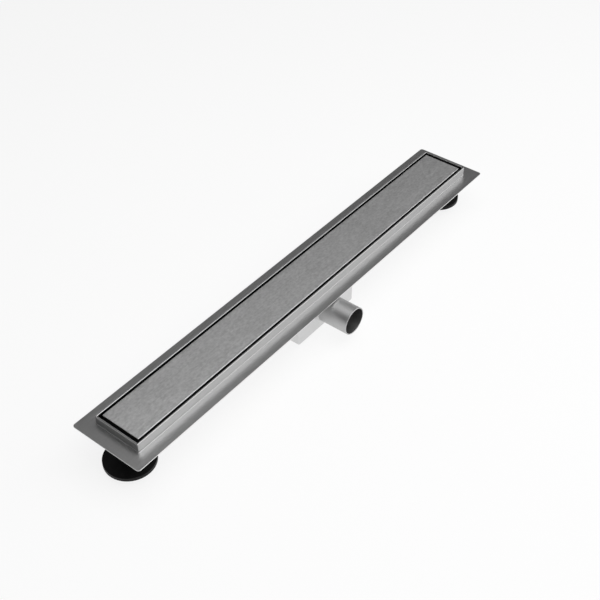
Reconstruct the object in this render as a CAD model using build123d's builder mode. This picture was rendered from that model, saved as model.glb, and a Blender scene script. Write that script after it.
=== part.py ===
from build123d import *
import math
import os

os.makedirs("parts", exist_ok=True)

# Linear shower drain, in millimetres. +X runs along the channel, the outlet pipe leaves
# towards -Y and +Z is up. The origin is the middle of the drain, on the flange's top face.

# Sheet steel of the channel, the flange, the well and the cover
sheet = 1.2
bend_radius = 1.5
edge_break = 0.3

# Raised rim and flange
rim_length = 701.0
rim_width = 71.0
rim_height = 13.2
rim_corner_radius = 1.5
rim_edge_radius = 0.9
collar_bend_radius = 1.2
flange_end_margin = 19.8
flange_side_margin = 19.4
flange_corner_radius = 4.0

# Trough floor: lowest in the middle, rising to both ends and to both sides
floor_depth = 13.0
end_fall = 4.5
side_fall = 1.6

# Round seat for the trap, pressed into the middle of the trough floor
seat_radius = 31.0
seat_drop = 4.4
seat_ledge = 4.0

# Cover, a tray with its open side down
cover_end_gap = 4.4
cover_side_gap = 3.45
cover_recess = 0.2
cover_depth = 10.0
cover_corner_radius = 1.0
cover_edge_radius = 0.9

# Cross strips and rubber buffers under the cover
rest_thickness = 1.5
rest_strip_width = 20.0
rest_floor_gap = 0.5
rest_end_inset = 30.1
rest_inner_spacing = 230.0
buffer_radius = 3.5
buffer_thickness = 1.5
buffer_edge_inset = 2.0

# Well under the channel
well_length = 120.0
well_width = 77.0
well_depth = 51.0

# Outlet pipe
outlet_radius = 20.0
outlet_wall = 1.5
outlet_axis_depth = 23.0
outlet_reach = 85.1

# Trap insert
insert_clearance = 0.4
seal_thickness = 1.5
insert_flange_thickness = 2.5
insert_wall = 1.5
dip_end_gap = 3.0
water_gap = 7.0
cup_clearance = 0.6
cup_floor_gap = 2.6
cup_rim_drop = 5.4
lug_count = 3
lug_width = 9.0
lug_height = 2.0
hook_reach = 2.8

# Strainer basket
strainer_rebate = 1.5
strainer_wall = 1.2
strainer_depth = 11.0
strainer_hole_radius = 1.6
strainer_hole_rings = 2
strainer_ring_holes = 6
strainer_slot_width = 2.2
strainer_slot_height = 5.5
strainer_slot_count = 10
strainer_bar_width = 3.0
strainer_knob_radius = 4.0

# Levelling feet
foot_inset = 33.1
floor_clearance = 1.0
bracket_thickness = 2.0
bracket_width = 22.0
bracket_inner_span = 40.0
bracket_depth = 31.5
rod_radius = 5.0
rod_chamfer = 0.8
rod_hole_clearance = 0.4
thread_clearance = 0.05
nut_across_flats = 17.0
nut_chamfer_angle = 30.0
weld_nut_height = 8.0
lock_nut_height = 5.0
washer_radius = 10.5
washer_thickness = 1.5
pad_radius = 33.3
pad_edge_height = 5.4
pad_crown = 0.8
hub_base_radius = 13.0
hub_top_radius = 9.0
hub_gap = 1.8
pad_floor = 3.2
pad_recess_depth = 2.8
pad_wall = 2.6
pad_core_radius = 11.0
pad_rib_count = 8
pad_rib_thickness = 2.0
socket_clearance = 0.1
foot_travel = 10.0

# Sizes that follow from the ones above
trough_length = rim_length - 2 * sheet
trough_width = rim_width - 2 * sheet
channel_width = trough_width - 2 * sheet
channel_length = trough_length - 2 * sheet
flange_length = rim_length + 2 * flange_end_margin
flange_width = rim_width + 2 * flange_side_margin
end_slope = end_fall / (channel_length / 2)
side_slope = side_fall / (channel_width / 2)
seat_level = -floor_depth - seat_drop
seat_hole_radius = seat_radius - seat_ledge
cover_length = channel_length - 2 * cover_end_gap
cover_width = channel_width - 2 * cover_side_gap
cover_top = rim_height - cover_recess
rest_top = cover_top - cover_depth - buffer_thickness
outlet_bore = outlet_radius - outlet_wall

# Overshoot of cuts past the faces they open, and tolerance for finding an edge by its place
tip = 1.0
near = 0.01


def floor_level(x, y):
    """Height of the trough's inner floor at one place."""
    return -floor_depth + end_slope * abs(x) + side_slope * abs(y)


def channel_space(length, width, lowest, top, corner_radius):
    """Solid that fills a channel above its four floor planes, rounded along its lower edges."""
    with BuildPart() as space:
        with BuildSketch(Plane.XY.offset(lowest - tip)):
            Rectangle(length, width)
        extrude(amount=top - lowest + tip)
        for x_sign in (-1, 1):
            for y_sign in (-1, 1):
                normal = (-x_sign * end_slope, -y_sign * side_slope, 1)
                quarter = Plane(origin=(0, 0, lowest), x_dir=(1, 0, x_sign * end_slope), z_dir=normal)
                split(bisect_by=quarter, keep=Keep.TOP)
        for y_side in (-width / 2, width / 2):
            side_edges = space.edges().filter_by_position(Axis.Y, y_side - near, y_side + near)
            fillet(side_edges.filter_by(Axis.Z, reverse=True).sort_by(Axis.Z)[:2], corner_radius)
    return space.part


def turned(points, x_place=0):
    """Turned piece about an upright axis, from the radius and height of each corner."""
    with BuildPart() as piece:
        with BuildSketch(Plane(origin=(x_place, 0, 0), x_dir=(1, 0, 0), z_dir=(0, -1, 0))):
            with BuildLine():
                Polyline(*points, close=True)
            make_face()
        revolve(axis=Axis((x_place, 0, 0), (0, 0, 1)))
    return piece.part


def folded_strip(x_place, width, corners, thickness, side):
    """Strip folded from flat bar, given by the corners of its outer face seen along the channel."""
    with BuildPart() as strip:
        with BuildSketch(Plane.YZ.offset(x_place - width / 2)):
            with BuildLine():
                FilletPolyline(*corners, radius=bend_radius + thickness)
                offset(amount=thickness, side=side)
            make_face()
        extrude(amount=width)
    return strip.part


def nut_envelope(x_place, level, height):
    """Turned blank of a nut: its corners are chamfered at both faces, down to the flats."""
    face_radius = nut_across_flats / 2 - edge_break
    corner_radius = nut_across_flats / math.sqrt(3)
    chamfer_height = (corner_radius - face_radius) * math.tan(math.radians(nut_chamfer_angle))
    top = level + height
    return turned([
        (0, level), (face_radius, level), (corner_radius, level + chamfer_height),
        (corner_radius, top - chamfer_height), (face_radius, top), (0, top),
    ], x_place)


# The trough's outer envelope: whatever is welded under the trough is cut to it
trough_envelope = channel_space(
    trough_length, trough_width, -floor_depth - sheet, rim_height, bend_radius + sheet
)
trough_space = channel_space(
    trough_length + 2 * tip, channel_width, -floor_depth, rim_height + tip, bend_radius
)

# Flange frame: a flat flange bent up into the raised rim
with BuildPart() as flange_frame:
    with BuildSketch(Plane.XY.offset(-sheet)):
        RectangleRounded(flange_length, flange_width, flange_corner_radius)
    extrude(amount=sheet)
    with BuildSketch(Plane.XY):
        RectangleRounded(rim_length, rim_width, rim_corner_radius)
    extrude(amount=rim_height)
    wall_foot = flange_frame.edges().filter_by_position(Axis.Z, -near, near)
    outer_reach = rim_length / 2 + tip
    wall_foot = wall_foot.filter_by(
        lambda edge: abs(edge.center().X) < outer_reach and abs(edge.center().Y) < rim_width / 2 + tip
    )
    fillet(wall_foot, collar_bend_radius)
    fillet(flange_frame.faces().sort_by(Axis.Z)[-1].edges(), rim_edge_radius)
    with BuildSketch(Plane.XY.offset(-sheet)):
        Rectangle(trough_length, trough_width)
    extrude(amount=rim_height + sheet, mode=Mode.SUBTRACT)
    under_edges = flange_frame.edges().filter_by_position(Axis.Z, -sheet - near, -sheet + near)
    under_edges = under_edges.filter_by(
        lambda edge: abs(edge.center().X) < outer_reach and abs(edge.center().Y) < rim_width / 2 + tip
    )
    fillet(under_edges, collar_bend_radius + sheet / 2)
flange_frame.part.label = "flange_frame"
export_step(flange_frame.part, "parts/flange_frame.step")

# Trough: a folded channel with a round seat pressed into its floor
with BuildPart() as trough:
    add(trough_envelope)
    with BuildSketch(Plane.XY.offset(seat_level - sheet)):
        Circle(seat_radius + sheet)
    extrude(amount=seat_drop + sheet)
    add(trough_space, mode=Mode.SUBTRACT)
    with BuildSketch(Plane.XY.offset(seat_level)):
        Circle(seat_radius)
    extrude(amount=seat_drop + side_fall + tip, mode=Mode.SUBTRACT)
    with BuildSketch(Plane.XY.offset(seat_level - sheet)):
        Circle(seat_hole_radius)
    extrude(amount=sheet, mode=Mode.SUBTRACT)
    wall_tops = trough.edges().filter_by(Axis.X).filter_by_position(Axis.Z, rim_height - near, rim_height + near)
    wall_tops = wall_tops.filter_by(lambda edge: abs(edge.center().Y) < trough_width / 2 - sheet / 2)
    fillet(wall_tops, rim_edge_radius)
trough.part.label = "trough"
export_step(trough.part, "parts/trough.step")

# End plates of the trough, welded between its walls
end_plate_height = 2 * (rim_height + floor_depth)
for side, x_sign in (("left", -1), ("right", 1)):
    with BuildPart() as trough_end:
        with BuildSketch(Plane.YZ.offset(x_sign * (trough_length / 2 - sheet / 2))):
            Rectangle(trough_width, end_plate_height)
        extrude(amount=sheet / 2, both=True)
        add(trough_space, mode=Mode.INTERSECT)
        with BuildSketch(Plane.XY.offset(rim_height)):
            Rectangle(rim_length, rim_width)
        extrude(amount=2 * tip, mode=Mode.SUBTRACT)
        plate_tops = trough_end.faces().sort_by(Axis.Z)[-1].edges().filter_by(Axis.Y)
        fillet(plate_tops.sort_by(lambda edge: abs(edge.center().X))[0], rim_edge_radius)
    trough_end.part.label = "trough_end_" + side
    export_step(trough_end.part, "parts/trough_end_" + side + ".step")

# Well: a folded box, open to the trough's hole and to the outlet
with BuildPart() as well_space:
    with BuildSketch(Plane.XY.offset(-well_depth + sheet)):
        RectangleRounded(well_length - 2 * sheet, well_width - 2 * sheet, bend_radius)
    extrude(amount=well_depth)
    fillet(well_space.faces().sort_by(Axis.Z)[0].edges(), bend_radius - edge_break)

with BuildPart() as trap_box:
    with BuildSketch(Plane.XY.offset(-well_depth)):
        RectangleRounded(well_length, well_width, bend_radius + sheet)
    extrude(amount=well_depth - sheet)
    fillet(trap_box.faces().sort_by(Axis.Z)[0].edges(), bend_radius + sheet - edge_break)
    add(well_space.part, mode=Mode.SUBTRACT)
    add(trough_envelope, mode=Mode.SUBTRACT)
    with BuildSketch(Plane.XZ.offset(well_width / 2)):
        with Locations((0, -outlet_axis_depth)):
            Circle(outlet_bore)
    extrude(amount=-sheet, mode=Mode.SUBTRACT)
trap_box.part.label = "trap_box"
export_step(trap_box.part, "parts/trap_box.step")

# Outlet pipe, welded round the hole in the well's side
with BuildPart() as outlet_pipe:
    with BuildSketch(Plane.XZ.offset(well_width / 2)):
        with Locations((0, -outlet_axis_depth)):
            Circle(outlet_radius)
            Circle(outlet_bore, mode=Mode.SUBTRACT)
    extrude(amount=outlet_reach - well_width / 2)
    chamfer(outlet_pipe.faces().sort_by(Axis.Y)[0].edges(), edge_break)
outlet_pipe.part.label = "outlet_pipe"
export_step(outlet_pipe.part, "parts/outlet_pipe.step")

# Cover: a tray with its closed side up
cover_bottom = cover_top - cover_depth
with BuildPart() as cover_plate:
    with BuildSketch(Plane.XY.offset(cover_bottom)):
        RectangleRounded(cover_length, cover_width, cover_corner_radius)
    extrude(amount=cover_depth)
    fillet(cover_plate.faces().sort_by(Axis.Z)[-1].edges(), cover_edge_radius)
    with BuildSketch(Plane.XY.offset(cover_bottom)):
        Rectangle(cover_length - 2 * sheet, cover_width - 2 * sheet)
    extrude(amount=cover_depth - sheet, mode=Mode.SUBTRACT)
cover_plate.part.label = "cover_plate"
export_step(cover_plate.part, "parts/cover_plate.step")

# Cross strips that carry the cover, welded between the trough's walls
rest_outer_place = channel_length / 2 - rest_end_inset
rest_inner_place = rest_inner_spacing / 2
rest_places = [-rest_outer_place, -rest_inner_place, rest_inner_place, rest_outer_place]
rest_far_edge = rest_outer_place + rest_strip_width / 2
rest_foot = floor_level(rest_far_edge, channel_width / 2) + bend_radius + rest_floor_gap
for number, x_place in enumerate(rest_places, start=1):
    half_span = channel_width / 2
    rest_corners = [
        (-half_span, rest_foot), (-half_span, rest_top), (half_span, rest_top), (half_span, rest_foot),
    ]
    with BuildPart() as cover_rest:
        add(folded_strip(x_place, rest_strip_width, rest_corners, rest_thickness, Side.RIGHT))
    cover_rest.part.label = "cover_rest_" + str(number)
    export_step(cover_rest.part, "parts/cover_rest_" + str(number) + ".step")

# Rubber buffers between the cross strips and the cover's edges
buffer_offset = cover_width / 2 - buffer_edge_inset
buffer_places = [(x_place, y_sign * buffer_offset) for x_place in rest_places for y_sign in (-1, 1)]
for number, place in enumerate(buffer_places, start=1):
    with BuildPart() as cover_buffer:
        with BuildSketch(Plane.XY.offset(rest_top)):
            with Locations(place):
                Circle(buffer_radius)
        extrude(amount=buffer_thickness)
    cover_buffer.part.label = "cover_buffer_" + str(number)
    export_step(cover_buffer.part, "parts/cover_buffer_" + str(number) + ".step")

# Flat seal on the trough's seat
seal_top = seat_level + seal_thickness
insert_radius = seat_radius - insert_clearance
with BuildPart() as trap_seal:
    with BuildSketch(Plane.XY.offset(seat_level)):
        Circle(insert_radius)
        Circle(seat_hole_radius, mode=Mode.SUBTRACT)
    extrude(amount=seal_thickness)
trap_seal.part.label = "trap_seal"
export_step(trap_seal.part, "parts/trap_seal.step")

# Dip tube: a flange on the seal, a neck through the hole and a tube down into the cup
flange_top = seal_top + insert_flange_thickness
neck_radius = seat_hole_radius - insert_clearance
neck_bottom = seat_level - sheet - 2 * insert_clearance
cup_floor = -well_depth + sheet + cup_floor_gap + insert_wall
cup_rim = seat_level - sheet - cup_rim_drop
dip_end = cup_floor + dip_end_gap
cup_radius = neck_radius - cup_clearance
cup_bore = cup_radius - insert_wall
dip_radius = cup_bore - water_gap
dip_bore = dip_radius - insert_wall
chamber_radius = neck_radius - insert_wall
rebate_radius = insert_radius - insert_wall - insert_clearance
strainer_seat = flange_top - strainer_rebate
chamber_floor = neck_bottom + insert_wall
hook_top = cup_rim + lug_height + insert_wall
lug_top = cup_rim + insert_wall
with BuildPart() as trap_tube:
    add(turned([
        (insert_radius, flange_top), (insert_radius, seal_top), (neck_radius, seal_top),
        (neck_radius, neck_bottom), (dip_radius, neck_bottom), (dip_radius, dip_end),
        (dip_bore, dip_end), (dip_bore, chamber_floor), (chamber_radius, chamber_floor),
        (chamber_radius, strainer_seat), (rebate_radius, strainer_seat), (rebate_radius, flange_top),
    ]))
    lug_reach = cup_bore - dip_radius - insert_clearance
    with BuildSketch(Plane.XY.offset(lug_top - lug_height)):
        with PolarLocations(dip_radius - insert_wall / 2 + lug_reach / 2, lug_count):
            Rectangle(lug_reach + insert_wall / 2, lug_width)
    extrude(amount=lug_height)
trap_tube.part.label = "trap_tube"
export_step(trap_tube.part, "parts/trap_tube.step")

# Water cup, hooked over the dip tube's lugs
with BuildPart() as trap_cup:
    add(turned([
        (0, cup_floor), (cup_bore, cup_floor), (cup_bore, cup_rim), (cup_radius, cup_rim),
        (cup_radius, cup_floor - insert_wall), (0, cup_floor - insert_wall),
    ]))
    with BuildSketch(Plane.XY.offset(cup_rim)):
        with PolarLocations(cup_radius, lug_count):
            Rectangle(cup_radius, lug_width)
        Circle(cup_radius, mode=Mode.INTERSECT)
        Circle(cup_bore, mode=Mode.SUBTRACT)
    extrude(amount=hook_top - cup_rim)
    with BuildSketch(Plane.XY.offset(lug_top)):
        with PolarLocations(cup_radius, lug_count):
            Rectangle(cup_radius, lug_width)
        Circle(cup_radius, mode=Mode.INTERSECT)
        Circle(cup_bore - hook_reach, mode=Mode.SUBTRACT)
    extrude(amount=hook_top - lug_top)
trap_cup.part.label = "trap_cup"
export_step(trap_cup.part, "parts/trap_cup.step")

# Strainer: a slotted basket hanging in the dip tube by its rim
basket_radius = dip_bore - insert_clearance
basket_floor = flange_top - strainer_depth
hole_ring_step = basket_radius / (strainer_hole_rings + 1)
slot_cut_depth = 4 * strainer_wall
with BuildPart() as strainer:
    add(turned([
        (0, basket_floor), (basket_radius, basket_floor), (basket_radius, strainer_seat),
        (rebate_radius - insert_clearance, strainer_seat), (rebate_radius - insert_clearance, flange_top),
        (basket_radius - strainer_wall, flange_top), (basket_radius - strainer_wall, basket_floor + strainer_wall),
        (0, basket_floor + strainer_wall),
    ]))
    with BuildSketch(Plane.XY.offset(basket_floor)):
        Circle(strainer_hole_radius)
        for ring in range(1, strainer_hole_rings + 1):
            with PolarLocations(ring * hole_ring_step, ring * strainer_ring_holes):
                Circle(strainer_hole_radius)
    extrude(amount=strainer_wall, mode=Mode.SUBTRACT)
    with BuildSketch(Plane.XY.offset(basket_floor + 2 * strainer_wall)):
        with PolarLocations(basket_radius, strainer_slot_count):
            Rectangle(slot_cut_depth, strainer_slot_width)
    extrude(amount=strainer_slot_height, mode=Mode.SUBTRACT)
    with BuildSketch(Plane.XY.offset(strainer_seat)):
        Rectangle(2 * basket_radius - strainer_wall, strainer_bar_width)
        Circle(strainer_knob_radius)
    extrude(amount=strainer_rebate)
strainer.part.label = "strainer"
export_step(strainer.part, "parts/strainer.step")

# Levelling feet, one under each end
foot_place = flange_length / 2 - foot_inset
pad_bottom = -well_depth - floor_clearance
pad_top = pad_bottom + pad_edge_height
hub_top = -bracket_depth - washer_thickness - lock_nut_height - hub_gap
rod_bottom = pad_bottom + pad_floor
rod_top = -bracket_depth + bracket_thickness + weld_nut_height + foot_travel
for side, x_sign in (("left", -1), ("right", 1)):
    x_foot = x_sign * foot_place

    # Bracket: a folded strip welded under the trough
    half_span = bracket_inner_span / 2 + bracket_thickness
    bracket_corners = [
        (-half_span, 0), (-half_span, -bracket_depth), (half_span, -bracket_depth), (half_span, 0),
    ]
    with BuildPart() as foot_bracket:
        add(folded_strip(x_foot, bracket_width, bracket_corners, bracket_thickness, Side.LEFT))
        with Locations((x_foot, 0, -bracket_depth + bracket_thickness / 2)):
            Cylinder(rod_radius + rod_hole_clearance, 2 * bracket_thickness, mode=Mode.SUBTRACT)
        add(trough_envelope, mode=Mode.SUBTRACT)
    foot_bracket.part.label = "foot_bracket_" + side
    export_step(foot_bracket.part, "parts/foot_bracket_" + side + ".step")

    # Weld nut on the bracket, lock nut and washer under it
    nut_places = [
        ("weld_nut_", -bracket_depth + bracket_thickness, weld_nut_height),
        ("lock_nut_", -bracket_depth - washer_thickness - lock_nut_height, lock_nut_height),
    ]
    for nut_name, nut_level, nut_height in nut_places:
        with BuildPart() as nut:
            with BuildSketch(Plane.XY.offset(nut_level)):
                with Locations((x_foot, 0)):
                    RegularPolygon(nut_across_flats / 2, 6, major_radius=False)
            extrude(amount=nut_height)
            add(nut_envelope(x_foot, nut_level, nut_height), mode=Mode.INTERSECT)
            with BuildSketch(Plane.XY.offset(nut_level)):
                with Locations((x_foot, 0)):
                    Circle(rod_radius + thread_clearance)
            extrude(amount=nut_height, mode=Mode.SUBTRACT)
        nut.part.label = nut_name + side
        export_step(nut.part, "parts/" + nut_name + side + ".step")

    with BuildPart() as lock_washer:
        with BuildSketch(Plane.XY.offset(-bracket_depth - washer_thickness)):
            with Locations((x_foot, 0)):
                Circle(washer_radius)
                Circle(rod_radius + rod_hole_clearance, mode=Mode.SUBTRACT)
        extrude(amount=washer_thickness)
    lock_washer.part.label = "lock_washer_" + side
    export_step(lock_washer.part, "parts/lock_washer_" + side + ".step")

    # Threaded rod, standing in the pad's socket
    with BuildPart() as foot_rod:
        with BuildSketch(Plane.XY.offset(rod_bottom)):
            with Locations((x_foot, 0)):
                Circle(rod_radius)
        extrude(amount=rod_top - rod_bottom)
        chamfer(foot_rod.faces().sort_by(Axis.Z)[-1].edges(), rod_chamfer)
    foot_rod.part.label = "foot_rod_" + side
    export_step(foot_rod.part, "parts/foot_rod_" + side + ".step")

    # Pad: a wide disc with a low crown, a tapered hub round the rod and ribs underneath
    socket_radius = rod_radius + socket_clearance
    with BuildPart() as foot_pad:
        add(turned([
            (0, pad_bottom), (pad_radius, pad_bottom), (pad_radius, pad_top),
            (hub_base_radius, pad_top + pad_crown), (hub_top_radius, hub_top), (socket_radius, hub_top),
            (socket_radius, rod_bottom), (0, rod_bottom),
        ], x_foot))
        rim_edges = foot_pad.edges().filter_by(GeomType.CIRCLE).sort_by(lambda edge: edge.radius)[-2:]
        chamfer(rim_edges, edge_break)
        with BuildSketch(Plane.XY.offset(pad_bottom)):
            with Locations((x_foot, 0)):
                Circle(pad_radius - pad_wall)
                Circle(pad_core_radius, mode=Mode.SUBTRACT)
                with PolarLocations(pad_radius / 2, pad_rib_count):
                    Rectangle(pad_radius, pad_rib_thickness, mode=Mode.SUBTRACT)
        extrude(amount=pad_recess_depth, mode=Mode.SUBTRACT)
    foot_pad.part.label = "foot_pad_" + side
    export_step(foot_pad.part, "parts/foot_pad_" + side + ".step")
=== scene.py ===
import math

import bmesh
import bpy
from bpy.props import FloatProperty, FloatVectorProperty, PointerProperty
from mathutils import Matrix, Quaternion, Vector


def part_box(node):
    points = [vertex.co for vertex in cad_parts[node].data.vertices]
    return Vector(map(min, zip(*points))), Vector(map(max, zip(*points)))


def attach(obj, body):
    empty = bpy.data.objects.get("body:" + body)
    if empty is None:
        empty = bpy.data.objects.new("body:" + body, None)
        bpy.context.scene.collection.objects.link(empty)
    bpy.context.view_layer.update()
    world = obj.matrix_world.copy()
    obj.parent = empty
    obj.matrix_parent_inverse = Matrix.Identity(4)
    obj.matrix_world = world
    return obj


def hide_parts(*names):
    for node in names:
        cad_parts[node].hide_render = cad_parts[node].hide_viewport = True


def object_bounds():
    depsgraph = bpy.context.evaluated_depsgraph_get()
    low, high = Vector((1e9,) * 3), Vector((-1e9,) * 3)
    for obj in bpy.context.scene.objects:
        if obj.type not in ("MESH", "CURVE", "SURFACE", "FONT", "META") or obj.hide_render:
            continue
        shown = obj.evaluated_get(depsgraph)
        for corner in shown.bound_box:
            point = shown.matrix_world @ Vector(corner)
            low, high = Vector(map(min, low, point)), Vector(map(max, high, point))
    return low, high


bl_info = {
    "name": "Linear Shower Drain",
    "version": (1, 0, 0),
    "blender": (4, 5, 0),
    "location": "3D View > Sidebar > Shower Drain",
    "description": "Finishes a linear shower drain: sheet steel, welds, trap insert and levelling feet",
    "category": "Add Mesh",
}

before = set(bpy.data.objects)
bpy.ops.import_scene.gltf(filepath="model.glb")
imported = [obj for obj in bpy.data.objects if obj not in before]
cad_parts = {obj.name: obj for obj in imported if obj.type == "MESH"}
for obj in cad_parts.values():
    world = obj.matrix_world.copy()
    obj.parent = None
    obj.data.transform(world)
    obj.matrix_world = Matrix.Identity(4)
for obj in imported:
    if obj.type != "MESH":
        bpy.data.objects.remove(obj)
cad_low, cad_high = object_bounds()

SIDES = ("left", "right")
RESTS = range(1, 5)
BUFFERS = range(1, 9)

# Sheet and tube thickness, the well's corner radius, the widths of the top edges kept clear of painted shade,
# the height of the painted shade in the bend and the width of the painted highlight on cut edges, in metres
SHEET = 0.0012
TUBE_WALL = 0.0015
WELL_CORNER = 0.0027
FOLD_EDGE = 0.0006
TOP_EDGE = 0.0004
BEND_SHADE = 0.0006
CUT_EDGE = 0.0002

# How noise values spread, the mottle's share in colour and roughness, and how far roughness varies
NOISE_RANGE = (0.3, 0.7)
MOTTLE_IN_COLOUR = 0.6
MOTTLE_IN_ROUGHNESS = 0.35
ROUGHNESS_RANGE = (0.85, 1.15)

# Patches of a moulded surface: their size in grains and their share in the roughness
CLOUD_GRAINS = 30
CLOUD_IN_ROUGHNESS = 0.6

# Painted shade in the bend at the foot of the rim: the share of the base colour left there, and between which
# shares of the bend's height it is darkest
BEND_SHARE = 0.7
BEND_DARKEST = (0.1, 0.6)

# Patches and grain of the finishes, as multiples of the mottle's size and of the grain's width
COVER_PATCH = 1.6
SHEET_PATCH = 5.0
WELL_PATCH = 4.0
WELL_GRAIN = 2.0
ZINC_GRAIN = 1.5

# Faces whose normal has a lower Z than this face down and are left out of the painted shade
FACES_DOWN = -0.5

# Share of the tube's wall, from the outside, that keeps the tube's colour at its mouth, outside the painted
# shade in the bore
POLISHED_WALL = 0.9

# Specular level of the foot pads
PAD_SPECULAR = 0.15

# Floor paint: roughness, size of its faint patches in metres and how far its colour varies
FLOOR_ROUGHNESS = 0.9
FLOOR_PATCH = 0.6
FLOOR_CHANGE = 0.004

# Area lamps, as (name, direction from the drain, distance in metres, side in metres)
SOFTBOX = ("outlet_side_softbox", (0.52, -0.527, 0.518), 1.774, 1.78)
FILL = ("camera_side_fill", (-0.5, -0.6, 0.9), 2.4, 1.6)
OVERHEAD = ("overhead", (-0.044, -0.148, 0.978), 1.396, 1.167)

# Surroundings: heights where the pale band fades, and the tilt and foot of the brighter zenith
BAND_TOP = (math.radians(10.0), math.radians(15.9))
ZENITH_TILT = (0.3, 0.0, 1.0)
ZENITH_FOOT = 0.56

# Thread form, as (share of the pitch, share of the depth), and the columns round a rod
THREAD_FORM = ((0.0, 0.0), (0.25, 0.0), (0.5625, 1.0), (0.6875, 1.0))
THREAD_COLUMNS = 48

# Angles above which the edges of threads and of weld beads stay sharp
THREAD_SHARP = math.radians(35)
BEAD_SHARP = math.radians(60)

# Divisions of a weld bead and of the seams that it follows
RIPPLE_STEPS = 5
BEAD_STEPS = 5
ROUND_STEPS = 96
CORNER_STEPS = 6
SECTION_STEPS = 120

# Weld bead: its depth in the sheets in metres, and as shares of its leg the crown, the ripples on it,
# the size of its open ends, the length over which they grow and the gap that makes a seam closed
BEAD_SINK = 0.00003
BEAD_CROWN = 0.14
RIPPLE_CROWN = 0.14
END_SIZE = 0.4
END_LENGTH = 1.5
CLOSED_GAP = 0.1

# Bow of a ripple across the bead, in ripples
RIPPLE_BOW = 0.45

# Start of the rays that find the trough's outside, in metres from its middle
RAY_START = 0.1


class DrainSteel(bpy.types.PropertyGroup):
    """Colour and surface of the steel pieces."""

    sheet_colour: FloatVectorProperty(
        name="Sheet colour",
        description="Colour of the flange, rim and trough",
        subtype="COLOR",
        size=3,
        min=0.0,
        max=1.0,
        default=(0.522, 0.522, 0.522),
    )
    sheet_roughness: FloatProperty(
        name="Sheet roughness",
        description="Roughness of the flange, rim and trough",
        subtype="FACTOR",
        min=0.0,
        max=1.0,
        default=0.342,
    )
    cover_colour: FloatVectorProperty(
        name="Cover colour",
        description="Colour of the brushed cover",
        subtype="COLOR",
        size=3,
        min=0.0,
        max=1.0,
        default=(0.623, 0.623, 0.623),
    )
    cover_roughness: FloatProperty(
        name="Cover roughness",
        description="Roughness of the brushed cover",
        subtype="FACTOR",
        min=0.0,
        max=1.0,
        default=0.5,
    )
    well_colour: FloatVectorProperty(
        name="Well colour",
        description="Colour of the pickled steel of the well",
        subtype="COLOR",
        size=3,
        min=0.0,
        max=1.0,
        default=(0.68, 0.68, 0.68),
    )
    well_roughness: FloatProperty(
        name="Well roughness",
        description="Roughness of the pickled steel of the well",
        subtype="FACTOR",
        min=0.0,
        max=1.0,
        default=0.42,
    )
    pipe_colour: FloatVectorProperty(
        name="Pipe colour",
        description="Colour of the drawn outlet tube",
        subtype="COLOR",
        size=3,
        min=0.0,
        max=1.0,
        default=(0.54, 0.54, 0.54),
    )
    pipe_roughness: FloatProperty(
        name="Pipe roughness",
        description="Roughness of the drawn outlet tube",
        subtype="FACTOR",
        min=0.0,
        max=1.0,
        default=0.5,
    )
    # Painted shade: dark colour put in the bore of the outlet tube, which lies in shade
    bore_colour: FloatVectorProperty(
        name="Bore colour",
        description="Colour of the inside of the outlet tube",
        subtype="COLOR",
        size=3,
        min=0.0,
        max=1.0,
        default=(0.24, 0.24, 0.24),
    )
    # Partly bright sheared steel, partly a painted highlight on the flange's cut edges
    edge_colour: FloatVectorProperty(
        name="Cut edge colour",
        description="Colour of the flange's bright cut edges",
        subtype="COLOR",
        size=3,
        min=0.0,
        max=1.0,
        default=(0.9, 0.9, 0.9),
    )
    # Painted shade: dark colour put on the trough's inside and the cover's folded sides, which lie in shade
    # in the gap at the rim; not a finish of the steel
    mill_colour: FloatVectorProperty(
        name="Mill finish colour",
        description="Colour of the unpolished steel inside the trough and under the cover",
        subtype="COLOR",
        size=3,
        min=0.0,
        max=1.0,
        default=(0.1, 0.1, 0.1),
    )
    zinc_colour: FloatVectorProperty(
        name="Zinc colour",
        description="Colour of the zinc-plated nuts, washers and rods",
        subtype="COLOR",
        size=3,
        min=0.0,
        max=1.0,
        default=(0.6, 0.61, 0.63),
    )
    zinc_roughness: FloatProperty(
        name="Zinc roughness",
        description="Roughness of the zinc-plated pieces",
        subtype="FACTOR",
        min=0.0,
        max=1.0,
        default=0.32,
    )
    grain_length: FloatProperty(
        name="Grain length",
        description="Length of one brush mark",
        subtype="DISTANCE",
        unit="LENGTH",
        min=0.001,
        default=0.03,
    )
    grain_width: FloatProperty(
        name="Grain width",
        description="Width of one brush mark",
        subtype="DISTANCE",
        unit="LENGTH",
        min=0.00005,
        default=0.0004,
    )
    mottle_size: FloatProperty(
        name="Mottle size",
        description="Size of the faint light and dark patches in the brushing",
        subtype="DISTANCE",
        unit="LENGTH",
        min=0.0005,
        default=0.0028,
    )


class DrainPlastics(bpy.types.PropertyGroup):
    """Colour and surface of the plastic and rubber pieces."""

    pad_colour: FloatVectorProperty(
        name="Pad colour",
        description="Colour of the moulded foot pads",
        subtype="COLOR",
        size=3,
        min=0.0,
        max=1.0,
        default=(0.005, 0.005, 0.005),
    )
    rubber_colour: FloatVectorProperty(
        name="Rubber colour",
        description="Colour of the seal and the buffers",
        subtype="COLOR",
        size=3,
        min=0.0,
        max=1.0,
        default=(0.02, 0.02, 0.02),
    )
    insert_colour: FloatVectorProperty(
        name="Insert colour",
        description="Colour of the dip tube and the water cup",
        subtype="COLOR",
        size=3,
        min=0.0,
        max=1.0,
        default=(0.8, 0.8, 0.77),
    )
    strainer_colour: FloatVectorProperty(
        name="Strainer colour",
        description="Colour of the strainer basket",
        subtype="COLOR",
        size=3,
        min=0.0,
        max=1.0,
        default=(0.22, 0.22, 0.23),
    )


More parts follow.
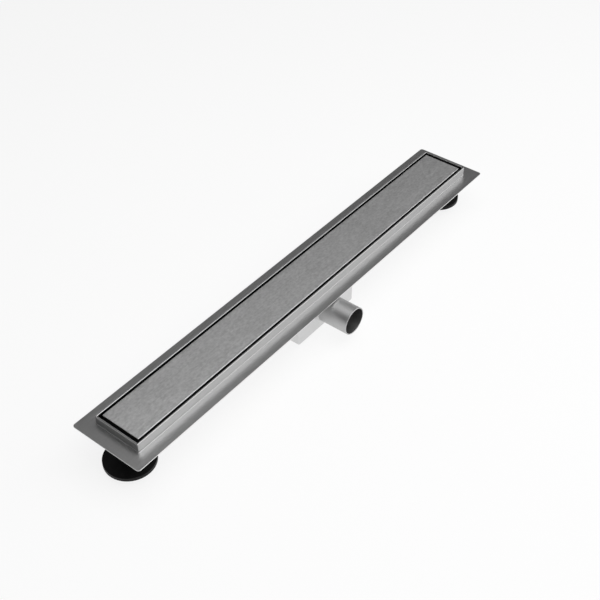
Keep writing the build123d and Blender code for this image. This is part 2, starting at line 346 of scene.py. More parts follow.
class DrainDetail(bpy.types.PropertyGroup):
    """Sizes of the pieces added to the frame."""

    thread_pitch: FloatProperty(
        name="Thread pitch",
        description="Pitch of the thread on the foot rods",
        subtype="DISTANCE",
        unit="LENGTH",
        min=0.0005,
        default=0.0015,
    )
    thread_depth: FloatProperty(
        name="Thread depth",
        description="Depth of the thread on the foot rods",
        subtype="DISTANCE",
        unit="LENGTH",
        min=0.0001,
        default=0.0009,
    )
    bead_leg: FloatProperty(
        name="Weld bead leg",
        description="How far a weld seam reaches over each of the two sheets",
        subtype="DISTANCE",
        unit="LENGTH",
        min=0.0002,
        default=0.0012,
    )
    ripple_pitch: FloatProperty(
        name="Weld ripple pitch",
        description="Distance between the ripples of a weld seam",
        subtype="DISTANCE",
        unit="LENGTH",
        min=0.0003,
        default=0.0014,
    )


class DrainStage(bpy.types.PropertyGroup):
    """Floor, lamps, surroundings and camera."""

    floor_colour: FloatVectorProperty(
        name="Floor colour",
        description="Colour of the plain floor",
        subtype="COLOR",
        size=3,
        min=0.0,
        max=1.0,
        default=(0.94, 0.94, 0.94),
    )
    floor_size: FloatProperty(
        name="Floor size",
        description="Side of the square floor",
        subtype="DISTANCE",
        unit="LENGTH",
        min=1.0,
        default=40.0,
    )
    foot_travel: FloatProperty(
        name="Foot travel",
        description="How far the feet screw out below their rest level, which is where the floor lies",
        subtype="DISTANCE",
        unit="LENGTH",
        min=0.0,
        default=0.01,
    )
    horizon_level: FloatProperty(
        name="Horizon level",
        description="Brightness of the surroundings near the horizon",
        min=0.0,
        default=0.93,
    )
    upper_level: FloatProperty(
        name="Upper level",
        description="Brightness of the surroundings above the pale band",
        min=0.0,
        default=0.02,
    )
    zenith_level: FloatProperty(
        name="Zenith level",
        description="Brightness of the surroundings straight overhead",
        min=0.0,
        default=0.32,
    )
    floor_glow: FloatProperty(
        name="Floor glow",
        description="Share of plain white in the floor as the camera and the steel see it",
        subtype="FACTOR",
        min=0.0,
        max=1.0,
        default=0.84,
    )
    overhead_radiance: FloatProperty(
        name="Overhead brightness",
        description="Brightness of the large soft lamp straight above",
        min=0.0,
        default=2.097,
    )
    softbox_radiance: FloatProperty(
        name="Softbox brightness",
        description="Brightness of the large soft lamp on the outlet side",
        min=0.0,
        default=1.6,
    )
    fill_radiance: FloatProperty(
        name="Fill brightness",
        description="Brightness of the large soft lamp behind the camera",
        min=0.0,
        default=1.807,
    )
    aim: FloatVectorProperty(
        name="Aim",
        description="Point at the middle of the camera's view",
        subtype="TRANSLATION",
        unit="LENGTH",
        size=3,
        default=(-0.03165, -0.01761, 0.0),
    )
    camera_distance: FloatProperty(
        name="Camera distance",
        description="Distance from the camera to the aim point",
        subtype="DISTANCE",
        unit="LENGTH",
        min=0.1,
        default=1.3727,
    )
    camera_azimuth: FloatProperty(
        name="Camera azimuth",
        description="Direction of the camera round the drain, from the outlet side",
        subtype="ANGLE",
        unit="ROTATION",
        default=math.radians(-51.37),
    )
    camera_elevation: FloatProperty(
        name="Camera elevation",
        description="Height of the camera above the horizon",
        subtype="ANGLE",
        unit="ROTATION",
        default=math.radians(41.875),
    )
    camera_roll: FloatProperty(
        name="Camera roll",
        description="Tilt of the picture round the camera's line of sight",
        subtype="ANGLE",
        unit="ROTATION",
        default=math.radians(-0.254),
    )
    lens: FloatProperty(
        name="Lens",
        description="Focal length in millimetres on a 36 mm sensor",
        min=1.0,
        default=61.87,
    )


def new_material(name):
    """Empty node material with a Principled shader, as the tree and the shader."""
    material = bpy.data.materials.new(name)
    material.use_nodes = True
    tree = material.node_tree
    tree.nodes.clear()
    output = tree.nodes.new("ShaderNodeOutputMaterial")
    shader = tree.nodes.new("ShaderNodeBsdfPrincipled")
    tree.links.new(shader.outputs["BSDF"], output.inputs["Surface"])
    return material, tree, shader


def noise(tree, pitch, detail=2.0):
    """Noise in the row frame whose features measure pitch = (x, y, z) metres."""
    place = tree.nodes.new("ShaderNodeTexCoord")
    mapping = tree.nodes.new("ShaderNodeMapping")
    mapping.inputs["Scale"].default_value = [1.0 / length for length in pitch]
    texture = tree.nodes.new("ShaderNodeTexNoise")
    texture.inputs["Scale"].default_value = 1.0
    texture.inputs["Detail"].default_value = detail
    tree.links.new(place.outputs["Object"], mapping.inputs["Vector"])
    tree.links.new(mapping.outputs["Vector"], texture.inputs["Vector"])
    return texture.outputs["Fac"]


def ranged(tree, value, low, high):
    """Noise value spread over low to high."""
    spread = tree.nodes.new("ShaderNodeMapRange")
    spread.inputs["From Min"].default_value = NOISE_RANGE[0]
    spread.inputs["From Max"].default_value = NOISE_RANGE[1]
    spread.inputs["To Min"].default_value = low
    spread.inputs["To Max"].default_value = high
    tree.links.new(value, spread.inputs["Value"])
    return spread.outputs["Result"]


def mixed(tree, first, second, share):
    """Weighted mean of two noise values."""
    mix = tree.nodes.new("ShaderNodeMix")
    mix.data_type = "FLOAT"
    mix.inputs["Factor"].default_value = share
    tree.links.new(first, mix.inputs[2])
    tree.links.new(second, mix.inputs[3])
    return mix.outputs[0]


def tinted(tree, shader, value, colour, change):
    """Base colour that varies by a share of itself with the noise value."""
    mix = tree.nodes.new("ShaderNodeMix")
    mix.data_type = "RGBA"
    mix.inputs[6].default_value = [*(channel * (1.0 - change) for channel in colour), 1.0]
    mix.inputs[7].default_value = [*(min(1.0, channel * (1.0 + change)) for channel in colour), 1.0]
    tree.links.new(ranged(tree, value, 0.0, 1.0), mix.inputs["Factor"])
    tree.links.new(mix.outputs[2], shader.inputs["Base Color"])


def coordinate(tree, source, axis):
    """One coordinate of the place ("Object") or of the facing direction ("Normal") in the row frame."""
    place = tree.nodes.new("ShaderNodeTexCoord")
    parts = tree.nodes.new("ShaderNodeSeparateXYZ")
    tree.links.new(place.outputs[source], parts.inputs["Vector"])
    return parts.outputs[axis]


def across_channel(tree):
    """Distance from the drain's long middle plane."""
    across = tree.nodes.new("ShaderNodeMath")
    across.operation = "ABSOLUTE"
    tree.links.new(coordinate(tree, "Object", "Y"), across.inputs[0])
    return across.outputs["Value"]


def off_axis(tree, centre):
    """Distance from the line through centre along Y."""
    place = tree.nodes.new("ShaderNodeTexCoord")
    apart = tree.nodes.new("ShaderNodeVectorMath")
    apart.operation = "SUBTRACT"
    apart.inputs[1].default_value = centre
    tree.links.new(place.outputs["Object"], apart.inputs[0])
    flat = tree.nodes.new("ShaderNodeVectorMath")
    flat.operation = "MULTIPLY"
    flat.inputs[1].default_value = (1.0, 0.0, 1.0)
    tree.links.new(apart.outputs["Vector"], flat.inputs[0])
    distance = tree.nodes.new("ShaderNodeVectorMath")
    distance.operation = "LENGTH"
    tree.links.new(flat.outputs["Vector"], distance.inputs[0])
    return distance.outputs["Value"]


def recoloured(tree, shader, tests, colour):
    """Base colour that turns to colour where each test, as (value, operation, limit), holds."""
    share = None
    for value, operation, limit in tests:
        test = tree.nodes.new("ShaderNodeMath")
        test.operation = operation
        test.inputs[1].default_value = limit
        tree.links.new(value, test.inputs[0])
        if share is None:
            share = test.outputs["Value"]
            continue
        both = tree.nodes.new("ShaderNodeMath")
        both.operation = "MULTIPLY"
        tree.links.new(share, both.inputs[0])
        tree.links.new(test.outputs["Value"], both.inputs[1])
        share = both.outputs["Value"]
    mix = tree.nodes.new("ShaderNodeMix")
    mix.data_type = "RGBA"
    mix.inputs[7].default_value = [*colour, 1.0]
    tree.links.new(share, mix.inputs["Factor"])
    tree.links.new(shader.inputs["Base Color"].links[0].from_socket, mix.inputs[6])
    tree.links.new(mix.outputs[2], shader.inputs["Base Color"])


def creased(tree, shader, level, share):
    """Painted shade: base colour cut to a share of itself in the bend from the flange's top face up to level.
    """
    height = coordinate(tree, "Object", "Z")
    colour = shader.inputs["Base Color"].links[0].from_socket
    darkest_from, darkest_to = (level * part for part in BEND_DARKEST)
    for start, stop, factor in ((0.0, darkest_from, share), (darkest_to, level, 1.0 / share)):
        ramp = tree.nodes.new("ShaderNodeMapRange")
        ramp.inputs["From Min"].default_value = start
        ramp.inputs["From Max"].default_value = stop
        ramp.inputs["To Min"].default_value = 1.0
        ramp.inputs["To Max"].default_value = factor
        tree.links.new(height, ramp.inputs["Value"])
        scaled = tree.nodes.new("ShaderNodeVectorMath")
        scaled.operation = "SCALE"
        tree.links.new(colour, scaled.inputs[0])
        tree.links.new(ramp.outputs["Result"], scaled.inputs["Scale"])
        colour = scaled.outputs["Vector"]
    tree.links.new(colour, shader.inputs["Base Color"])


def roughened(tree, shader, value, roughness):
    """Roughness that varies about its mean with the noise value."""
    low, high = (roughness * bound for bound in ROUGHNESS_RANGE)
    tree.links.new(ranged(tree, value, low, high), shader.inputs["Roughness"])


def bumped(tree, shader, value, height):
    """Surface relief of the given height in metres."""
    bump = tree.nodes.new("ShaderNodeBump")
    bump.inputs["Distance"].default_value = height
    tree.links.new(value, bump.inputs["Height"])
    tree.links.new(bump.outputs["Normal"], shader.inputs["Normal"])


def brushed_steel(name, colour, roughness, grain_pitch, mottle_pitch, change, relief):
    """Steel brushed along the longest side of grain_pitch, with faint patches."""
    material, tree, shader = new_material(name)
    shader.inputs["Metallic"].default_value = 1.0
    grain = noise(tree, grain_pitch, detail=3.0)
    mottle = noise(tree, mottle_pitch, detail=4.0)
    tinted(tree, shader, mixed(tree, grain, mottle, MOTTLE_IN_COLOUR), colour, change)
    roughened(tree, shader, mixed(tree, grain, mottle, MOTTLE_IN_ROUGHNESS), roughness)
    bumped(tree, shader, grain, relief)
    return material


def zinc_plate(scene):
    """The zinc-plated finish, made once."""
    steel = scene.drain_steel
    spangle = (steel.mottle_size,) * 3
    fine = (steel.grain_width * ZINC_GRAIN,) * 3
    return bpy.data.materials.get("zinc_plate") or brushed_steel(
        "zinc_plate", steel.zinc_colour, steel.zinc_roughness, fine, spangle,
        change=0.08, relief=0.00002,
    )


def moulded_plastic(name, colour, roughness, grain_size, relief, change):
    """Plastic or rubber with a fine moulded grain."""
    material, tree, shader = new_material(name)
    grain = noise(tree, (grain_size,) * 3, detail=3.0)
    cloud = noise(tree, (grain_size * CLOUD_GRAINS,) * 3, detail=3.0)
    tinted(tree, shader, cloud, colour, change)
    roughened(tree, shader, mixed(tree, grain, cloud, CLOUD_IN_ROUGHNESS), roughness)
    bumped(tree, shader, grain, relief)
    return material


def finish(nodes, material):
    """Gives CAD nodes their material."""
    for node in nodes:
        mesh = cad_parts[node].data
        mesh.materials.clear()
        mesh.materials.append(material)


class DRAIN_OT_cover(bpy.types.Operator):
    """Finish the brushed cover"""

    bl_idname = "drain.cover"
    bl_label = "Cover"

    def execute(self, context):
        steel = context.scene.drain_steel
        grain = (steel.grain_length, steel.grain_width, steel.grain_width)
        mottle = (steel.mottle_size * COVER_PATCH, steel.mottle_size, steel.mottle_size)
        material = brushed_steel(
            "brushed_cover", steel.cover_colour, steel.cover_roughness, grain, mottle,
            change=0.19, relief=0.00003,
        )
        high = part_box("cover_plate")[1]
        tree = material.node_tree
        # Painted shade on the cover's folded sides below a thin top band, where they face the shaded gap at
        # the rim
        inside = (
            (coordinate(tree, "Object", "Z"), "LESS_THAN", high.z - FOLD_EDGE),
            (coordinate(tree, "Normal", "Z"), "GREATER_THAN", FACES_DOWN),
        )
        recoloured(tree, tree.nodes["Principled BSDF"], inside, steel.mill_colour)
        finish(["cover_plate"], material)
        return {"FINISHED"}


class DRAIN_OT_channel(bpy.types.Operator):
    """Finish the flange, the trough and what is welded to them"""

    bl_idname = "drain.channel"
    bl_label = "Flange and trough"

    def execute(self, context):
        steel = context.scene.drain_steel
        grain = (steel.grain_length, steel.grain_width, steel.grain_width)
        mottle = (steel.mottle_size * SHEET_PATCH, steel.mottle_size, steel.mottle_size)
        sheet = brushed_steel(
            "satin_sheet", steel.sheet_colour, steel.sheet_roughness, grain, mottle,
            change=0.05, relief=0.00001,
        )
        finish(["foot_bracket_" + side for side in SIDES], sheet)
        finish(["flange_frame"], self.edged_sheet(sheet.copy(), steel))
        nodes = ["trough"] + ["trough_end_" + side for side in SIDES]
        finish(nodes + ["cover_rest_%d" % number for number in RESTS], self.trough_sheet(sheet.copy(), steel))
        return {"FINISHED"}

    def edged_sheet(self, material, steel):
        """Sheet with painted shade in the bend at the foot of the rim, and cut edges of bright sheared steel
        brightened further by a painted highlight
        """
        material.name = "flange_sheet"
        tree = material.node_tree
        shader = tree.nodes["Principled BSDF"]
        # Painted shade in the bend at the foot of the rim
        creased(tree, shader, BEND_SHADE, BEND_SHARE)
        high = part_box("flange_frame")[1]
        # Painted highlight along the flange's outer cut edge, over its bright sheared steel
        edge = ((across_channel(tree), "GREATER_THAN", high.y - CUT_EDGE),)
        recoloured(tree, shader, edge, steel.edge_colour)
        return material

    def trough_sheet(self, material, steel):
        """Sheet with painted shade on the inside of the trough, below its top edge"""
        material.name = "trough_sheet"
        tree = material.node_tree
        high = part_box("trough")[1]
        # Painted shade on the inside of the trough, below its top edge
        inside = (
            (across_channel(tree), "LESS_THAN", high.y - SHEET / 2),
            (coordinate(tree, "Object", "Z"), "LESS_THAN", high.z - TOP_EDGE),
            (coordinate(tree, "Normal", "Z"), "GREATER_THAN", FACES_DOWN),
        )
        recoloured(tree, tree.nodes["Principled BSDF"], inside, steel.mill_colour)
        return material


class DRAIN_OT_well(bpy.types.Operator):
    """Finish the well and the outlet pipe"""

    bl_idname = "drain.well"
    bl_label = "Well and outlet"

    def execute(self, context):
        steel = context.scene.drain_steel
        matt = (steel.grain_width * WELL_GRAIN,) * 3
        mottle = (steel.mottle_size * WELL_PATCH,) * 3
        pickled = brushed_steel(
            "pickled_steel", steel.well_colour, steel.well_roughness, matt, mottle,
            change=0.05, relief=0.00002,
        )
        finish(["trap_box"], pickled)
        around = (steel.grain_length, steel.grain_width, steel.grain_length)
        drawn = brushed_steel(
            "drawn_tube", steel.pipe_colour, steel.pipe_roughness, around, mottle,
            change=0.05, relief=0.00001,
        )
        low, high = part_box("outlet_pipe")
        tree = drawn.node_tree
        # Painted shade in the bore of the outlet tube
        bore_radius = (high.x - low.x) / 2 - TUBE_WALL * POLISHED_WALL
        bore = ((off_axis(tree, (low + high) / 2), "LESS_THAN", bore_radius),)
        recoloured(tree, tree.nodes["Principled BSDF"], bore, steel.bore_colour)
        finish(["outlet_pipe"], drawn)
        return {"FINISHED"}


class DRAIN_OT_insert(bpy.types.Operator):
    """Finish the trap insert, its seal and the cover's buffers"""

    bl_idname = "drain.insert"
    bl_label = "Trap insert"

    def execute(self, context):
        plastics = context.scene.drain_plastics
        white = moulded_plastic(
            "insert_plastic", plastics.insert_colour,
            roughness=0.42, grain_size=0.0006, relief=0.00002, change=0.04,
        )
        grey = moulded_plastic(
            "strainer_plastic", plastics.strainer_colour,
            roughness=0.4, grain_size=0.0006, relief=0.00002, change=0.08,
        )
        finish(["trap_tube", "trap_cup"], white)
        finish(["strainer"], grey)
        rubber = moulded_plastic(
            "seal_rubber", plastics.rubber_colour,
            roughness=0.65, grain_size=0.0004, relief=0.00003, change=0.12,
        )
        finish(["trap_seal"] + ["cover_buffer_%d" % number for number in BUFFERS], rubber)
        return {"FINISHED"}


class DRAIN_OT_feet(bpy.types.Operator):
    """Finish the nuts, washers, rods and pads of the levelling feet"""

    bl_idname = "drain.feet"
    bl_label = "Levelling feet"

    def execute(self, context):
        plastics = context.scene.drain_plastics
        pad = moulded_plastic(
            "pad_plastic", plastics.pad_colour,
            roughness=0.45, grain_size=0.0007, relief=0.00005, change=0.12,
        )
        pad.node_tree.nodes["Principled BSDF"].inputs["Specular IOR Level"].default_value = PAD_SPECULAR
        for side in SIDES:
            nodes = [name + side for name in ("weld_nut_", "lock_nut_", "lock_washer_")]
            finish(nodes, zinc_plate(context.scene))
            finish(["foot_pad_" + side], pad)
        return {"FINISHED"}


def added_piece(name, mesh, material, body):
    """New piece that rides on a body and takes the given material."""
    mesh.materials.append(material)
    piece = bpy.data.objects.new(name, mesh)
    bpy.context.scene.collection.objects.link(piece)
    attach(piece, body)
    return piece


def smooth_mesh(name, builder, sharp_angle):
    """Mesh from a bmesh, shaded smooth except along edges sharper than the angle."""
    bmesh.ops.recalc_face_normals(builder, faces=builder.faces)
    mesh = bpy.data.meshes.new(name)
    builder.to_mesh(mesh)
    builder.free()
    mesh.shade_smooth()
    mesh.set_sharp_from_angle(angle=sharp_angle)
    return mesh


def threaded_rod(name, low, high, pitch, depth):
    """Rod with a right-hand thread and a chamfered top, filling the box from low to high."""
    centre = (low + high) / 2
    crest = (high.x - low.x) / 2
    turns = math.ceil((high.z - low.z) / pitch) + 2
    builder = bmesh.new()
    columns = []
    for column in range(THREAD_COLUMNS):
        angle = math.tau * column / THREAD_COLUMNS
        rows = []
        for turn in range(turns):
            for climb, rise in THREAD_FORM:
                level = low.z + (turn - 1 + climb + column / THREAD_COLUMNS) * pitch
                radius = min(crest - depth * (1 - rise), crest - depth + high.z - level)
                x = centre.x + radius * math.cos(angle)
                y = centre.y + radius * math.sin(angle)
                rows.append(builder.verts.new((x, y, level)))
        columns.append(rows)
    columns.append(columns[0][len(THREAD_FORM):])
    for here, there in zip(columns, columns[1:]):
        for row in range(len(columns[-1]) - 1):
            builder.faces.new((here[row], there[row], there[row + 1], here[row + 1]))
    for level, facing in ((low.z, -1), (high.z, 1)):
        whole = [*builder.verts, *builder.edges, *builder.faces]
        cut = bmesh.ops.bisect_plane(
            builder, geom=whole, plane_co=(0, 0, level), plane_no=(0, 0, facing), clear_outer=True
        )
        rim = [part for part in cut["geom_cut"] if isinstance(part, bmesh.types.BMEdge)]
        bmesh.ops.contextual_create(builder, geom=rim)
    return smooth_mesh(name, builder, THREAD_SHARP)


class DRAIN_OT_threads(bpy.types.Operator):
    """Replace the plain foot rods by threaded ones"""

    bl_idname = "drain.threads"
    bl_label = "Threaded rods"

    def execute(self, context):
        detail = context.scene.drain_detail
        for side in SIDES:
            node = "foot_rod_" + side
            mesh = threaded_rod(
                "threaded_rod_" + side, *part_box(node), detail.thread_pitch, detail.thread_depth
            )
            rod = added_piece(mesh.name, mesh, zinc_plate(context.scene), side + "_foot")
            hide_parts(node)
        return {"FINISHED"}


def stations(seam, step):
    """Evenly spaced places along a seam, as (distance, corner, first leg, second leg), and its length."""
    distances = [0.0]
    for before, after in zip(seam, seam[1:]):
        distances.append(distances[-1] + (after[0] - before[0]).length)
    count = round(distances[-1] / step)
    places = []
    run = 0
    for number in range(count + 1):
        distance = distances[-1] * number / count
        while run < len(seam) - 2 and distances[run + 1] < distance:
            run += 1
        share = (distance - distances[run]) / (distances[run + 1] - distances[run])
        places.append((distance, *(a.lerp(b, share) for a, b in zip(seam[run], seam[run + 1]))))
    return places, distances[-1]


def add_bead(builder, seam, leg, ripple):
    """Rippled fillet bead along a seam, which is a list of (corner, first leg, second leg)."""
    closed = (seam[0][0] - seam[-1][0]).length < leg * CLOSED_GAP
    places, length = stations(seam, ripple / RIPPLE_STEPS)
    rings = []
    for distance, corner, first, second in places:
        end = 1.0 if closed else min(1.0, END_SIZE + min(distance, length - distance) / (leg * END_LENGTH))
        base = corner - (first + second) * BEAD_SINK
        ring = [builder.verts.new(base)]
        for step in range(BEAD_STEPS + 1):
            across = step / BEAD_STEPS
            crown = 4.0 * across * (1.0 - across)
            wave = abs(math.cos(math.pi * (distance / ripple + RIPPLE_BOW * crown)))
            reach = leg * end * (1.0 + crown * (BEAD_CROWN + RIPPLE_CROWN * wave))
            ring.append(builder.verts.new(base + (first * (1.0 - across) + second * across) * reach))
        rings.append(ring)
    if closed:
        rings[-1] = rings[0]
    for here, there in zip(rings, rings[1:]):
        for step in range(len(here)):
            after = (step + 1) % len(here)
            builder.faces.new((here[step], here[after], there[after], there[step]))
    if not closed:
        builder.faces.new(rings[0])
        builder.faces.new(rings[-1])
    else:
        loose = [vert for vert in builder.verts if not vert.link_faces]
        bmesh.ops.delete(builder, geom=loose, context="VERTS")


def round_seam(centre, radius, axis):
    """Closed seam round a tube that leaves a flat face along axis."""
    axis = Vector(axis)
    side = axis.orthogonal().normalized()
    over = axis.cross(side)
    seam = []
    for step in range(ROUND_STEPS + 1):
        angle = math.tau * step / ROUND_STEPS
        outward = side * math.cos(angle) + over * math.sin(angle)
        seam.append((centre + outward * radius, outward, axis))
    return seam


def wall_top_seam(low, high, radius, side, inner):
    """Seam under the flange along one long wall of the well, round its corners to inner."""
    down = Vector((0, 0, -1))
    seam = []
    for end in (-1, 1):
        edge = low.x if end < 0 else high.x
        middle = Vector((edge - end * radius, side * (high.y - radius), high.z))
        stop = Vector((edge, side * inner, high.z))
        turn = [(stop, down, Vector((end, 0, 0)))]
        for step in range(CORNER_STEPS + 1):
            angle = math.pi / 2 * step / CORNER_STEPS
            outward = Vector((end * math.cos(angle), side * math.sin(angle), 0))
            turn.append((middle + outward * radius, down, outward))
        seam += turn if end < 0 else reversed(turn)
    return seam


def trough_seam(trough, x, top, end):
    """Seam round the outside of the trough in the plane of the well's end wall."""
    seam = []
    for step in range(SECTION_STEPS + 1):
        angle = math.pi * (1.0 + step / SECTION_STEPS)
        outward = Vector((0, math.cos(angle), math.sin(angle)))
        centre = Vector((x, 0, top))
        hit, corner, normal, _ = trough.ray_cast(centre + outward * RAY_START, -outward)
        if not hit:
            raise RuntimeError("no trough wall at the well's end")
        seam.append((corner, Vector((0, normal.y, normal.z)).normalized(), Vector((end, 0, 0))))
    return seam


def bracket_seam(trough, low, high, side):
    """Seam between the outside of a bracket's leg and the trough's floor."""
    seam = []
    for x in (low.x, high.x):
        below = Vector((x, side * high.y, low.z))
        hit, corner, normal, _ = trough.ray_cast(below, Vector((0, 0, 1)))
        if not hit:
            raise RuntimeError("no trough floor over the bracket")
        along = Vector((0, side, 0))
        along = (along - normal * along.dot(normal)).normalized()
        seam.append((corner, along, Vector((0, 0, -1))))
    return seam


class DRAIN_OT_welds(bpy.types.Operator):
    """Add the weld seams of the outlet pipe, the well and the brackets"""

    bl_idname = "drain.welds"
    bl_label = "Weld seams"

    def execute(self, context):
        steel = context.scene.drain_steel
        detail = context.scene.drain_detail
        fine = (steel.grain_width,) * 3
        cloud = (steel.mottle_size,) * 3
        bead = brushed_steel(
            "weld_bead", steel.well_colour, steel.pipe_roughness, fine, cloud,
            change=0.12, relief=0.00002,
        )
        for name, seams in (
            ("outlet_weld", self.outlet_seams()),
            ("well_weld", self.well_seams()),
            ("bracket_weld", self.bracket_seams()),
        ):
            builder = bmesh.new()
            for seam in seams:
                add_bead(builder, seam, detail.bead_leg, detail.ripple_pitch)
            mesh = smooth_mesh(name, builder, BEAD_SHARP)
            added_piece(name, mesh, bead, "channel")
        return {"FINISHED"}

    def outlet_seams(self):
        """Seam round the outlet pipe"""
        low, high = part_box("outlet_pipe")
        centre = Vector(((low.x + high.x) / 2, high.y, (low.z + high.z) / 2))
        return [round_seam(centre, (high.x - low.x) / 2, (0, -1, 0))]

    def well_seams(self):
        """Seams between the well and the flange, and between the well and the trough"""
        low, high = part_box("trap_box")
        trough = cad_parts["trough"]
        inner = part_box("trough")[1].y
        seams = [wall_top_seam(low, high, WELL_CORNER, side, inner) for side in (-1, 1)]
        seams.append(trough_seam(trough, low.x, high.z, -1))
        seams.append(trough_seam(trough, high.x, high.z, 1))
        return seams

    def bracket_seams(self):
        """Seams between the brackets' legs and the trough"""
        seams = []
        for end in SIDES:
            low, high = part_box("foot_bracket_" + end)
            seams += [bracket_seam(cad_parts["trough"], low, high, side) for side in (-1, 1)]
        return seams


def soft_lamp(name, direction, distance, side, radiance):
    """Square lamp that faces the drain's middle and looks as bright as radiance says."""
    lamp = bpy.data.lights.new(name, "AREA")
    lamp.shape = "SQUARE"
    lamp.size = side
    lamp.energy = radiance * math.pi * side * side
    holder = bpy.data.objects.new(name, lamp)
    bpy.context.scene.collection.objects.link(holder)
    toward = Vector(direction).normalized()
    holder.location = toward * distance
    holder.rotation_euler = toward.to_track_quat("Z", "Y").to_euler()
    holder.visible_camera = False


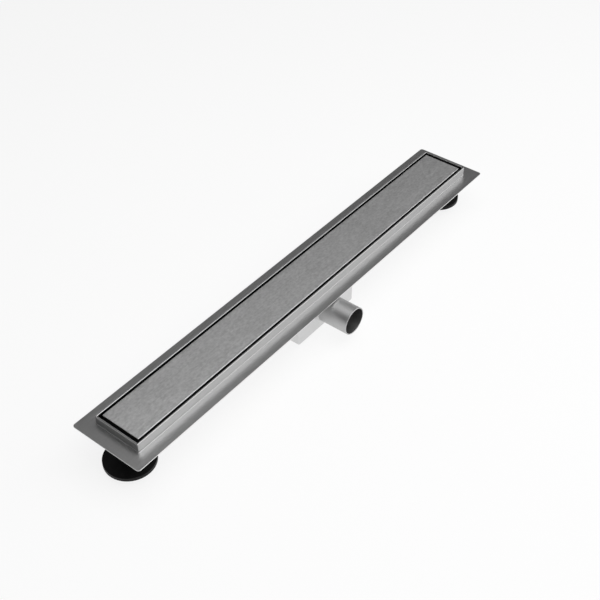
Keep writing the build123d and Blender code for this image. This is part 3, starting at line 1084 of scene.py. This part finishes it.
class DRAIN_OT_stage(bpy.types.Operator):
    """Set up the floor, the lamps, the surroundings and the camera"""

    bl_idname = "drain.stage"
    bl_label = "Stage"

    def execute(self, context):
        stage = context.scene.drain_stage
        self.make_floor(stage)
        self.make_surroundings(context.scene, stage)
        soft_lamp(*SOFTBOX, stage.softbox_radiance)
        soft_lamp(*FILL, stage.fill_radiance)
        soft_lamp(*OVERHEAD, stage.overhead_radiance)
        self.make_camera(context.scene, stage)
        context.scene.view_settings.view_transform = "Standard"
        return {"FINISHED"}

    def make_floor(self, stage):
        """Plain pale floor at the level that the pads reach when the feet are screwed out"""
        half = stage.floor_size / 2
        level = cad_low.z - stage.foot_travel
        mesh = bpy.data.meshes.new("floor")
        corners = [(-half, -half, level), (half, -half, level), (half, half, level), (-half, half, level)]
        mesh.from_pydata(corners, [], [(0, 1, 2, 3)])
        floor = bpy.data.objects.new("floor", mesh)
        bpy.context.scene.collection.objects.link(floor)
        material, tree, shader = new_material("floor_paint")
        shader.inputs["Roughness"].default_value = FLOOR_ROUGHNESS
        shader.inputs["Specular IOR Level"].default_value = 0.0
        tinted(tree, shader, noise(tree, (FLOOR_PATCH,) * 3), stage.floor_colour, FLOOR_CHANGE)
        self.add_glow(tree, shader, stage.floor_glow)
        mesh.materials.append(material)

    def add_glow(self, tree, shader, share):
        """Plain white mixed over the paint for camera, glossy and transmission rays"""
        path = tree.nodes.new("ShaderNodeLightPath")
        white = tree.nodes.new("ShaderNodeEmission")
        mix = tree.nodes.new("ShaderNodeMixShader")
        seen = path.outputs["Is Camera Ray"]
        for ray in ("Is Glossy Ray", "Is Transmission Ray"):
            either = tree.nodes.new("ShaderNodeMath")
            either.operation = "MAXIMUM"
            tree.links.new(seen, either.inputs[0])
            tree.links.new(path.outputs[ray], either.inputs[1])
            seen = either.outputs["Value"]
        part = tree.nodes.new("ShaderNodeMath")
        part.operation = "MULTIPLY"
        part.inputs[1].default_value = share
        tree.links.new(seen, part.inputs[0])
        tree.links.new(part.outputs["Value"], mix.inputs["Fac"])
        tree.links.new(shader.outputs["BSDF"], mix.inputs[1])
        tree.links.new(white.outputs["Emission"], mix.inputs[2])
        surface = tree.nodes["Material Output"].inputs["Surface"]
        tree.links.new(mix.outputs["Shader"], surface)

    def make_surroundings(self, scene, stage):
        """Pale band round the horizon under a dim grey that brightens overhead"""
        world = bpy.data.worlds.new("studio")
        scene.world = world
        world.use_nodes = True
        tree = world.node_tree
        tree.nodes.clear()
        place = tree.nodes.new("ShaderNodeTexCoord")
        height = tree.nodes.new("ShaderNodeSeparateXYZ")
        band = tree.nodes.new("ShaderNodeMapRange")
        climb = tree.nodes.new("ShaderNodeVectorMath")
        upper = tree.nodes.new("ShaderNodeMapRange")
        background = tree.nodes.new("ShaderNodeBackground")
        output = tree.nodes.new("ShaderNodeOutputWorld")
        climb.operation = "DOT_PRODUCT"
        climb.inputs[1].default_value = ZENITH_TILT
        upper.inputs["From Min"].default_value = ZENITH_FOOT
        upper.inputs["From Max"].default_value = 1.0
        upper.inputs["To Min"].default_value = stage.upper_level
        upper.inputs["To Max"].default_value = stage.zenith_level
        band.interpolation_type = "SMOOTHSTEP"
        band.inputs["From Min"].default_value = math.sin(BAND_TOP[0])
        band.inputs["From Max"].default_value = math.sin(BAND_TOP[1])
        band.inputs["To Min"].default_value = stage.horizon_level
        tree.links.new(place.outputs["Generated"], height.inputs["Vector"])
        tree.links.new(place.outputs["Generated"], climb.inputs[0])
        tree.links.new(climb.outputs["Value"], upper.inputs["Value"])
        tree.links.new(height.outputs["Z"], band.inputs["Value"])
        tree.links.new(upper.outputs["Result"], band.inputs["To Max"])
        tree.links.new(band.outputs["Result"], background.inputs["Strength"])
        tree.links.new(background.outputs["Background"], output.inputs["Surface"])

    def make_camera(self, scene, stage):
        """Camera at the azimuth and elevation of the picture"""
        camera = bpy.data.cameras.new("camera")
        camera.lens = stage.lens
        holder = bpy.data.objects.new("camera", camera)
        scene.collection.objects.link(holder)
        across = math.cos(stage.camera_elevation)
        back = Vector((
            math.sin(stage.camera_azimuth) * across,
            -math.cos(stage.camera_azimuth) * across,
            math.sin(stage.camera_elevation),
        ))
        holder.location = Vector(stage.aim) + back * stage.camera_distance
        level = back.to_track_quat("Z", "Y")
        holder.rotation_euler = (level @ Quaternion((0, 0, 1), stage.camera_roll)).to_euler()
        scene.camera = holder


OPERATORS = (
    DRAIN_OT_cover,
    DRAIN_OT_channel,
    DRAIN_OT_well,
    DRAIN_OT_insert,
    DRAIN_OT_feet,
    DRAIN_OT_threads,
    DRAIN_OT_welds,
    DRAIN_OT_stage,
)


class DRAIN_PT_panel(bpy.types.Panel):
    """Lists the drain's pieces and their settings"""

    bl_label = "Linear Shower Drain"
    bl_idname = "DRAIN_PT_panel"
    bl_space_type = "VIEW_3D"
    bl_region_type = "UI"
    bl_category = "Shower Drain"

    def draw(self, context):
        layout = self.layout
        for operator in OPERATORS:
            layout.operator(operator.bl_idname)
        for settings in (
            context.scene.drain_steel,
            context.scene.drain_plastics,
            context.scene.drain_detail,
            context.scene.drain_stage,
        ):
            box = layout.box()
            for name in settings.__annotations__:
                box.prop(settings, name)


PROPERTY_GROUPS = {
    "drain_steel": DrainSteel,
    "drain_plastics": DrainPlastics,
    "drain_detail": DrainDetail,
    "drain_stage": DrainStage,
}


def register():
    for name, group in PROPERTY_GROUPS.items():
        bpy.utils.register_class(group)
        setattr(bpy.types.Scene, name, PointerProperty(type=group))
    for operator in OPERATORS:
        bpy.utils.register_class(operator)
    bpy.utils.register_class(DRAIN_PT_panel)


def unregister():
    bpy.utils.unregister_class(DRAIN_PT_panel)
    for operator in reversed(OPERATORS):
        bpy.utils.unregister_class(operator)
    for name, group in PROPERTY_GROUPS.items():
        delattr(bpy.types.Scene, name)
        bpy.utils.unregister_class(group)


def main():
    register()
    bpy.ops.drain.cover()
    bpy.ops.drain.channel()
    bpy.ops.drain.well()
    bpy.ops.drain.insert()
    bpy.ops.drain.feet()
    bpy.ops.drain.threads()
    bpy.ops.drain.welds()
    bpy.ops.drain.stage()


if __name__ == "__main__":
    main()
